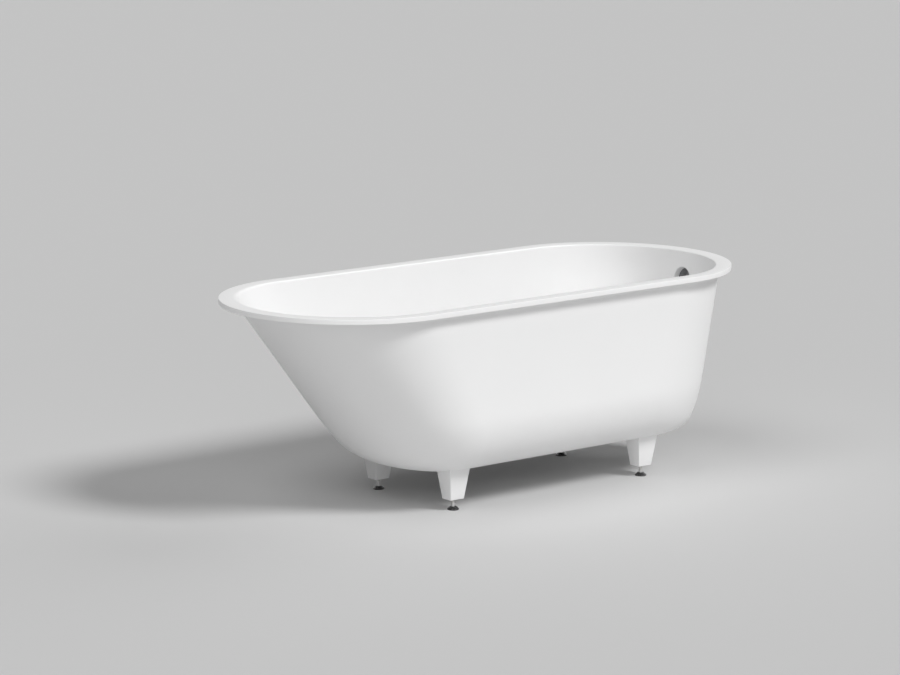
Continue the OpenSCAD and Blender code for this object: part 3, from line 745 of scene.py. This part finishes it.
bpy.ops.mesh.bridge_edge_loops()
bpy.ops.mesh.select_all(action="SELECT")
bpy.ops.mesh.delete_loose()
bpy.ops.mesh.select_all(action="SELECT")
bpy.ops.mesh.normals_make_consistent(inside=False)
open_edges = pick(lambda e: len(e.link_faces) != 2, "edges")
bpy.ops.object.mode_set(mode="OBJECT")
print("faces taken", removed, "edges bridged", joined, "edges left open", open_edges)
settle(tub, "tub_casting", "tub", "stone_resin", ["tub_shell"])

# %% [markdown]
# The legs. Each is a solid block that widens from 49 x 39 mm at the foot to
# 70 x 60 mm under the tub. It could be drawn face by face, but a cube whose top
# is scaled up gives the slopes at once, and they stay flat. We model one, with
# crisp bevelled edges and a bore for the screw foot, and copy it. It runs on
# into the tub's floor, so the joint disappears in the curve of the underside.

# %% Leg
LEG_AT = {"front_left": (-246.0, -172.0), "rear_left": (-246.0, 172.0),
          "front_right": (469.0, -180.0), "rear_right": (469.0, 180.0)}
LEG_FOOT = 32.0
LEG_TOP = 128.0
LEG_SIZE = (49.0, 39.0)
LEG_WIDENS = 21.0
LEG_TAPER = LEG_WIDENS / (UNDERSIDE - LEG_FOOT)
LEG_EDGE = 1.4
BUSH_BORE = 9.05
BUSH_LEN = 28.0


def model_leg():
    clear_selection()
    bpy.ops.mesh.primitive_cube_add(size=1.0, location=(0, 0, (LEG_FOOT + LEG_TOP) / 2),
                                    scale=(*LEG_SIZE, LEG_TOP - LEG_FOOT))
    leg = bpy.context.object
    bpy.ops.object.transform_apply(location=True, scale=True)
    bpy.ops.object.mode_set(mode="EDIT")
    pick(lambda f: f.normal.z > 0.5, "faces")
    wide, deep = [1 + LEG_TAPER * (LEG_TOP - LEG_FOOT) / side for side in LEG_SIZE]
    bpy.ops.transform.resize(value=(wide, deep, 1), center_override=(0, 0, LEG_TOP))
    bpy.ops.mesh.select_mode(type="EDGE")
    pick(lambda e: min(v.co.z for v in e.verts) < LEG_FOOT + TINY, "edges")
    bpy.ops.mesh.bevel(offset=LEG_EDGE, segments=4, profile=0.5, affect="EDGES")
    bpy.ops.mesh.select_mode(type="VERT")
    bpy.ops.object.mode_set(mode="OBJECT")
    clear_selection()
    bpy.ops.mesh.primitive_cylinder_add(vertices=ROUND_SMALL, radius=BUSH_BORE,
                                        depth=BUSH_LEN + PAST,
                                        location=(0, 0, LEG_FOOT + (BUSH_LEN - PAST) / 2))
    cut(leg, bpy.context.object)
    return leg


def copy_to(piece, place):
    """A copy with its own mesh, moved to an x, y place in millimetres."""
    made = piece.copy()
    made.data = piece.data.copy()
    made.location = (place[0], place[1], 0)
    bpy.context.collection.objects.link(made)
    return made


def place_on_legs(piece, stem, body, slot):
    """Puts one copy of piece at each leg, in place of the solid of the same name."""
    for corner_name, place in LEG_AT.items():
        name = stem + "_" + corner_name
        carrier = body if body == "tub" else body + "_" + corner_name
        settle(copy_to(piece, place), name + "_new", carrier, slot, [name])
    bpy.data.objects.remove(piece)


place_on_legs(model_leg(), "leg", "tub", "stone_resin")

# %% [markdown]
# What is turned on a lathe we make by spinning, because stacked cylinders would
# have hard edges and leave walls inside. A profile is drawn as a chain of
# points, radius and height, and spun once round the upright axis. The doubled
# points on the axis and at the seam are merged afterwards.


# %% Lathe
def lathe(profile, steps, closed=False):
    """Spins a profile round the upright axis. A closed one is joined end to start first."""
    clear_selection()
    bpy.ops.mesh.primitive_plane_add(size=1.0, location=(0, 0, 0))
    piece = bpy.context.object
    bpy.ops.object.mode_set(mode="EDIT")
    bpy.ops.mesh.select_mode(type="VERT")
    pick(lambda v: v.index > 0)
    bpy.ops.mesh.delete(type="VERT")
    bpy.ops.mesh.select_all(action="SELECT")
    here = bmesh.from_edit_mesh(piece.data).verts[:][0].co.copy()
    start = Vector((profile[0][0], 0, profile[0][1]))
    bpy.ops.transform.translate(value=start - here)
    for old, new in zip(profile, profile[1:]):
        bpy.ops.mesh.extrude_region_move()
        bpy.ops.transform.translate(value=(new[0] - old[0], 0, new[1] - old[1]))
    if closed:
        pick(lambda v: len(v.link_edges) == 1)
        bpy.ops.mesh.edge_face_add()
    bpy.ops.mesh.select_all(action="SELECT")
    bpy.ops.mesh.spin(steps=steps, angle=2 * math.pi, center=(0, 0, 0), axis=(0, 0, 1))
    bpy.ops.mesh.select_all(action="SELECT")
    bpy.ops.mesh.remove_doubles(threshold=WELD)
    bpy.ops.mesh.delete_loose()
    bpy.ops.mesh.select_all(action="SELECT")
    bpy.ops.mesh.normals_make_consistent(inside=False)
    bpy.ops.object.mode_set(mode="OBJECT")
    return piece


def rounded(x, z, radius, first, last, steps=5):
    """Points on an arc round (x, z) from the angle first to last, in degrees."""
    turns = [math.radians(first + (last - first) * i / steps) for i in range(steps + 1)]
    return [(x + radius * math.cos(turn), z + radius * math.sin(turn)) for turn in turns]


# %% [markdown]
# Screw feet. The spindle is an M12 screw: a turned core with spanner flats
# near the bottom, and a ridge of triangular section wound round it by the
# Screw modifier, one turn for each 1.75 mm of pitch. A bump would be lighter,
# but then the outline of the screw would stay straight.

# %% Spindle
PITCH = 1.75
CREST_R = 6.0
CORE_R = 5.02
JOURNAL_R = 4.5
JOURNAL_Z = 3.08
JOURNAL_EDGE = 0.4
SHANK_Z = 8.05
SHANK_EDGE = 0.5
SPINDLE_LEN = 66.0
SPINDLE_TOP = SHANK_Z + SPINDLE_LEN
FLATS_LOW, FLATS_HIGH = 12.0, 19.0
FLATS_WIDTH = 10.0
# Where the thread begins, the slope before it, the point at the top, and what stays bare there
THREAD_LOW = 20.4
RUN_OUT = 0.9
POINT_H, POINT_IN = 1.5, 1.0
BARE_TOP = 2.0
# How deep a thread's ridge sits in its core, and how many steps make a turn of it
RIDGE_SUNK = 0.1
RIDGE_STEPS = 24


def join_on(piece, other):
    """Joins other on to piece, so that the two are one mesh."""
    clear_selection()
    other.select_set(True)
    piece.select_set(True)
    bpy.context.view_layer.objects.active = piece
    bpy.ops.object.join()


def thread_ridge(core_r, crest_r, pitch, low, turns):
    """A screw thread's ridge, wound up from the height low, with closed ends."""
    clear_selection()
    bpy.ops.mesh.primitive_circle_add(vertices=3, radius=1.0)
    ridge = bpy.context.object
    inner_r = core_r - RIDGE_SUNK
    corners = [(inner_r, -pitch / 2), (crest_r, 0.0), (inner_r, pitch / 2)]
    bpy.ops.object.mode_set(mode="EDIT")
    for index, (x, z) in enumerate(corners):
        pick(lambda v: v.index == index)
        co = bmesh.from_edit_mesh(ridge.data).verts[:][index].co
        bpy.ops.transform.translate(value=Vector((x, 0, z)) - co)
    bpy.ops.object.mode_set(mode="OBJECT")
    ridge.location.z = low + pitch / 2
    apply_modifier(ridge, "SCREW", angle=2 * math.pi, screw_offset=pitch, iterations=turns,
                   steps=RIDGE_STEPS, render_steps=RIDGE_STEPS)
    bpy.ops.object.mode_set(mode="EDIT")
    bpy.ops.mesh.select_mode(type="EDGE")
    for at_start in (True, False):
        pick(lambda e: len(e.link_faces) == 1 and (e.verts[0].co.z < pitch) == at_start, "edges")
        bpy.ops.mesh.edge_face_add()
    bpy.ops.mesh.select_mode(type="VERT")
    bpy.ops.mesh.select_all(action="SELECT")
    bpy.ops.mesh.normals_make_consistent(inside=False)
    bpy.ops.object.mode_set(mode="OBJECT")
    return ridge


def model_spindle():
    core = lathe([(0, JOURNAL_Z), (JOURNAL_R - JOURNAL_EDGE, JOURNAL_Z),
                  (JOURNAL_R, JOURNAL_Z + JOURNAL_EDGE), (JOURNAL_R, SHANK_Z),
                  (CREST_R - SHANK_EDGE, SHANK_Z), (CREST_R, SHANK_Z + SHANK_EDGE),
                  (CREST_R, THREAD_LOW - RUN_OUT), (CORE_R, THREAD_LOW),
                  (CORE_R, SPINDLE_TOP - POINT_H), (CORE_R - POINT_IN, SPINDLE_TOP),
                  (0, SPINDLE_TOP)], ROUND_THIN)
    for side in (-1, 1):
        clear_selection()
        bpy.ops.mesh.primitive_cube_add(
            size=1.0,
            location=(side * (FLATS_WIDTH / 2 + CREST_R), 0, (FLATS_LOW + FLATS_HIGH) / 2),
            scale=(2 * CREST_R, 3 * CREST_R, FLATS_HIGH - FLATS_LOW))
        cut(core, bpy.context.object)
    turns = int((SPINDLE_TOP - BARE_TOP - THREAD_LOW) / PITCH)
    join_on(core, thread_ridge(CORE_R, CREST_R, PITCH, THREAD_LOW, turns))
    return core


place_on_legs(model_spindle(), "foot_spindle", "spindle", "bright_steel")

# %% [markdown]
# The pad under each spindle is a moulded disc that rises in a cone. Its edges
# are softly rounded, so that they catch the light as the real one does, and
# two grooves underneath keep it from sliding. All of it is round, so the arcs
# go straight into the profile, and no bevel is needed afterwards.

# %% Pad
PAD_R = 17.0
PAD_EDGE = 3.5
PAD_TOP_R = 10.0
PAD_H = 10.0
# Radii of the roundings low on the rim, high on it, and at the top of the cone
LOW_ROUND, HIGH_ROUND, TOP_ROUND = 0.6, 0.9, 0.8
PAD_BORE = JOURNAL_R + 0.08
PAD_COLLAR = CREST_R + 0.4
PAD_SHOULDER = SHANK_Z - 0.13
PAD_FLOOR = 3.0
# Inner radius of each groove, its depth, and how far out its slopes end and it does
GROOVES = (5.0, 10.0)
GROOVE_DEPTH = 0.7
GROOVE_STEPS = (0.4, 1.6, 2.0)

pad_profile = [(0, 0.0)]
for groove in GROOVES:
    down, up, out = [groove + step for step in GROOVE_STEPS]
    pad_profile += [(groove, 0.0), (down, GROOVE_DEPTH), (up, GROOVE_DEPTH), (out, 0.0)]
pad_profile += rounded(PAD_R - LOW_ROUND, LOW_ROUND, LOW_ROUND, -90, 0)
pad_profile += rounded(PAD_R - HIGH_ROUND, PAD_EDGE - HIGH_ROUND, HIGH_ROUND, 0, 65)
pad_profile += rounded(PAD_TOP_R - TOP_ROUND, PAD_H - TOP_ROUND, TOP_ROUND, 40, 90)
pad_profile += [(PAD_COLLAR, PAD_H), (PAD_COLLAR, PAD_SHOULDER), (PAD_BORE, PAD_SHOULDER),
                (PAD_BORE, PAD_FLOOR), (0, PAD_FLOOR)]
place_on_legs(lathe(pad_profile, ROUND), "foot_pad", "pad", "pad_plastic")

# %% [markdown]
# The waste: a chromed flange sunk flush into the floor, with a hub on three
# spokes in its barrel that guides the stem. Flange and hub come off the lathe
# as two closed rings. The spokes aren't round, so they are bevelled bars, set
# evenly round the hub and joined on to it.

# %% Flange
FLANGE_R = 35.0
FLANGE_T = 2.5
FLANGE_ROUND = 1.0
BARREL_R = 23.5
BARREL_EDGE = 0.5
BORE_R = 19.5
BARREL_LOW = 98.0
# The cone that the plug's seal sits on
CONE_R = 27.0
CONE_ROUND = 0.6
SEAT_DROP = 4.0
HUB_R = 7.0
HUB_Z = 104.0
HUB_H = 6.0
HUB_BORE = 3.58
SPOKES = 3
SPOKE_W = 3.0
SPOKE_EDGE = 0.4
# How far a spoke's ends run into the hub and into the barrel
SPOKE_SUNK = 0.5


def at_waste(piece, name, body, slot, replaced):
    piece.location = (WASTE_X, 0, 0)
    settle(piece, name, body, slot, [replaced])


flange_profile = [(BORE_R, BARREL_LOW), (BARREL_R - BARREL_EDGE, BARREL_LOW),
                  (BARREL_R, BARREL_LOW + BARREL_EDGE), (BARREL_R, DISH_Z - FLANGE_T),
                  (FLANGE_R, DISH_Z - FLANGE_T)]
flange_profile += rounded(FLANGE_R - FLANGE_ROUND, DISH_Z - FLANGE_ROUND, FLANGE_ROUND, 0, 90)
flange_profile += rounded(CONE_R + CONE_ROUND, DISH_Z - CONE_ROUND, CONE_ROUND, 90, 150, 4)
flange_profile += [(BORE_R, DISH_Z - SEAT_DROP)]
flange = lathe(flange_profile, ROUND, closed=True)
hub = lathe([(HUB_BORE, HUB_Z), (HUB_R, HUB_Z), (HUB_R, HUB_Z + HUB_H),
             (HUB_BORE, HUB_Z + HUB_H)], ROUND_THIN, closed=True)
middle = (HUB_R + BORE_R) / 2
for spoke in range(SPOKES):
    turn = 2 * math.pi * spoke / SPOKES
    clear_selection()
    bpy.ops.mesh.primitive_cube_add(
        size=1.0, location=(middle * math.cos(turn), middle * math.sin(turn), HUB_Z + HUB_H / 2),
        rotation=(0, 0, turn), scale=(BORE_R - HUB_R + 2 * SPOKE_SUNK, SPOKE_W, HUB_H))
    bpy.ops.object.mode_set(mode="EDIT")
    bpy.ops.mesh.bevel(offset=SPOKE_EDGE, segments=2, affect="EDGES")
    bpy.ops.object.mode_set(mode="OBJECT")
    cut(hub, bpy.context.object, "UNION")
join_on(flange, hub)
at_waste(flange, "waste_flange_turned", "tub", "chrome", "waste_flange")

# %% [markdown]
# Over it stands the plug's cap, which clicks up and down on its stem. Its top is
# a very flat dome that runs into the rounded edge. A flattened sphere would
# give the dome without the edge, so both are drawn in one profile.

# %% Cap
CAP_R = 30.0
CAP_Z = DISH_Z + 1.0
CAP_T = 4.0
CAP_EDGE = 1.0
CAP_ROUND = 3.0
COLLAR_H = 3.0
COLLAR_EDGE = 0.3
DOME_RISE = 0.8
DOME_STEPS = 8
SOCKET_R = 3.55
SOCKET_H = 2.0

cap_profile = [(SOCKET_R, CAP_Z - COLLAR_H), (HUB_R - COLLAR_EDGE, CAP_Z - COLLAR_H),
               (HUB_R, CAP_Z - COLLAR_H + COLLAR_EDGE), (HUB_R, CAP_Z),
               (CAP_R - CAP_EDGE, CAP_Z), (CAP_R, CAP_Z + CAP_EDGE)]
cap_profile += rounded(CAP_R - CAP_ROUND, CAP_Z + CAP_T - CAP_ROUND, CAP_ROUND, 0, 72, 8)
edge_r, edge_z = cap_profile[-1]
dome = CAP_Z + CAP_T + DOME_RISE - edge_z
for step in range(1, DOME_STEPS + 1):
    out = 1 - step / DOME_STEPS
    cap_profile.append((edge_r * out, edge_z + dome * (1 - out ** 2)))
cap_profile += [(0, CAP_Z + SOCKET_H), (SOCKET_R, CAP_Z + SOCKET_H)]
at_waste(lathe(cap_profile, ROUND, closed=True), "plug_cap_turned", "plug", "chrome", "plug_cap")

# %% [markdown]
# Under the floor the barrel screws into a moulded body. It has a sealing
# flange, an inlet for the overflow pipe and a threaded tail for the drain. We
# turn the outside, add the inlet, and cut out the chamber and the bores. Cut
# last, the inlet's bore opens cleanly into the chamber. The thread is the same
# wound ridge as on the spindles, only coarser.

# %% Waste body
TEE_TOP = 106.95
TEE_R = 38.0
TEE_FLANGE_LOW = 102.95
TEE_LOW = 79.5
CHAMBER_R = 29.5
CHAMBER_WALL = 3.0
CHAMBER_ROUND = 2.0
FLANGE_LOW_ROUND, FLANGE_TOP_ROUND = 1.0, 0.5
FLANGE_SLOPE = 1.0
TAIL_LOW = 63.5
TAIL_EDGE = 0.8
TAIL_R = 23.9
TAIL_CORE = 22.5
TAIL_BORE = 20.0
TAIL_PITCH = 2.31
TAIL_BARE = 1.0
INLET_Z = 92.0
INLET_R = 12.5
INLET_END = 49.0
INLET_SUNK, INLET_BORE_SUNK = 4, 8
SEAT_LOW = 97.0
BARREL_GAP = 0.05

body_profile = [(0, TAIL_LOW), (TAIL_CORE - TAIL_EDGE, TAIL_LOW),
                (TAIL_CORE, TAIL_LOW + TAIL_EDGE), (TAIL_CORE, TEE_LOW)]
body_profile += rounded(CHAMBER_R - CHAMBER_ROUND, TEE_LOW + CHAMBER_ROUND, CHAMBER_ROUND, -90, 0)
body_profile += [(CHAMBER_R, TEE_FLANGE_LOW - FLANGE_SLOPE)]
body_profile += rounded(TEE_R - FLANGE_LOW_ROUND, TEE_FLANGE_LOW + FLANGE_LOW_ROUND,
                        FLANGE_LOW_ROUND, -90, 0)
body_profile += rounded(TEE_R - FLANGE_TOP_ROUND, TEE_TOP - FLANGE_TOP_ROUND, FLANGE_TOP_ROUND,
                        0, 90, 3)
body_profile += [(0, TEE_TOP)]
chamber_r, chamber_low = CHAMBER_R - CHAMBER_WALL, TEE_LOW + CHAMBER_WALL
barrel_r = BARREL_R + BARREL_GAP
bore_profile = [(0, TAIL_LOW - PAST), (TAIL_BORE, TAIL_LOW - PAST), (TAIL_BORE, chamber_low),
                (chamber_r, chamber_low), (chamber_r, SEAT_LOW), (barrel_r, SEAT_LOW),
                (barrel_r, TEE_TOP + PAST), (0, TEE_TOP + PAST)]


def inlet_cylinder(radius, start, end):
    clear_selection()
    bpy.ops.mesh.primitive_cylinder_add(vertices=ROUND_SMALL, radius=radius, depth=end - start,
                                        location=((start + end) / 2, 0, INLET_Z),
                                        rotation=(0, math.pi / 2, 0))
    return bpy.context.object


waste_body = lathe(body_profile, ROUND)
cut(waste_body, inlet_cylinder(INLET_R, CHAMBER_R - INLET_SUNK, INLET_END), "UNION")
cut(waste_body, lathe(bore_profile, ROUND))
cut(waste_body, inlet_cylinder(INLET_R - CHAMBER_WALL, CHAMBER_R - INLET_BORE_SUNK,
                               INLET_END + PAST))
tail_turns = int((TEE_LOW - TAIL_BARE - TAIL_LOW - TAIL_BARE) / TAIL_PITCH)
join_on(waste_body,
        thread_ridge(TAIL_CORE, TAIL_R, TAIL_PITCH, TAIL_LOW + TAIL_BARE, tail_turns))
at_waste(waste_body, "waste_body_moulded", "tub", "white_plastic", "waste_tee")
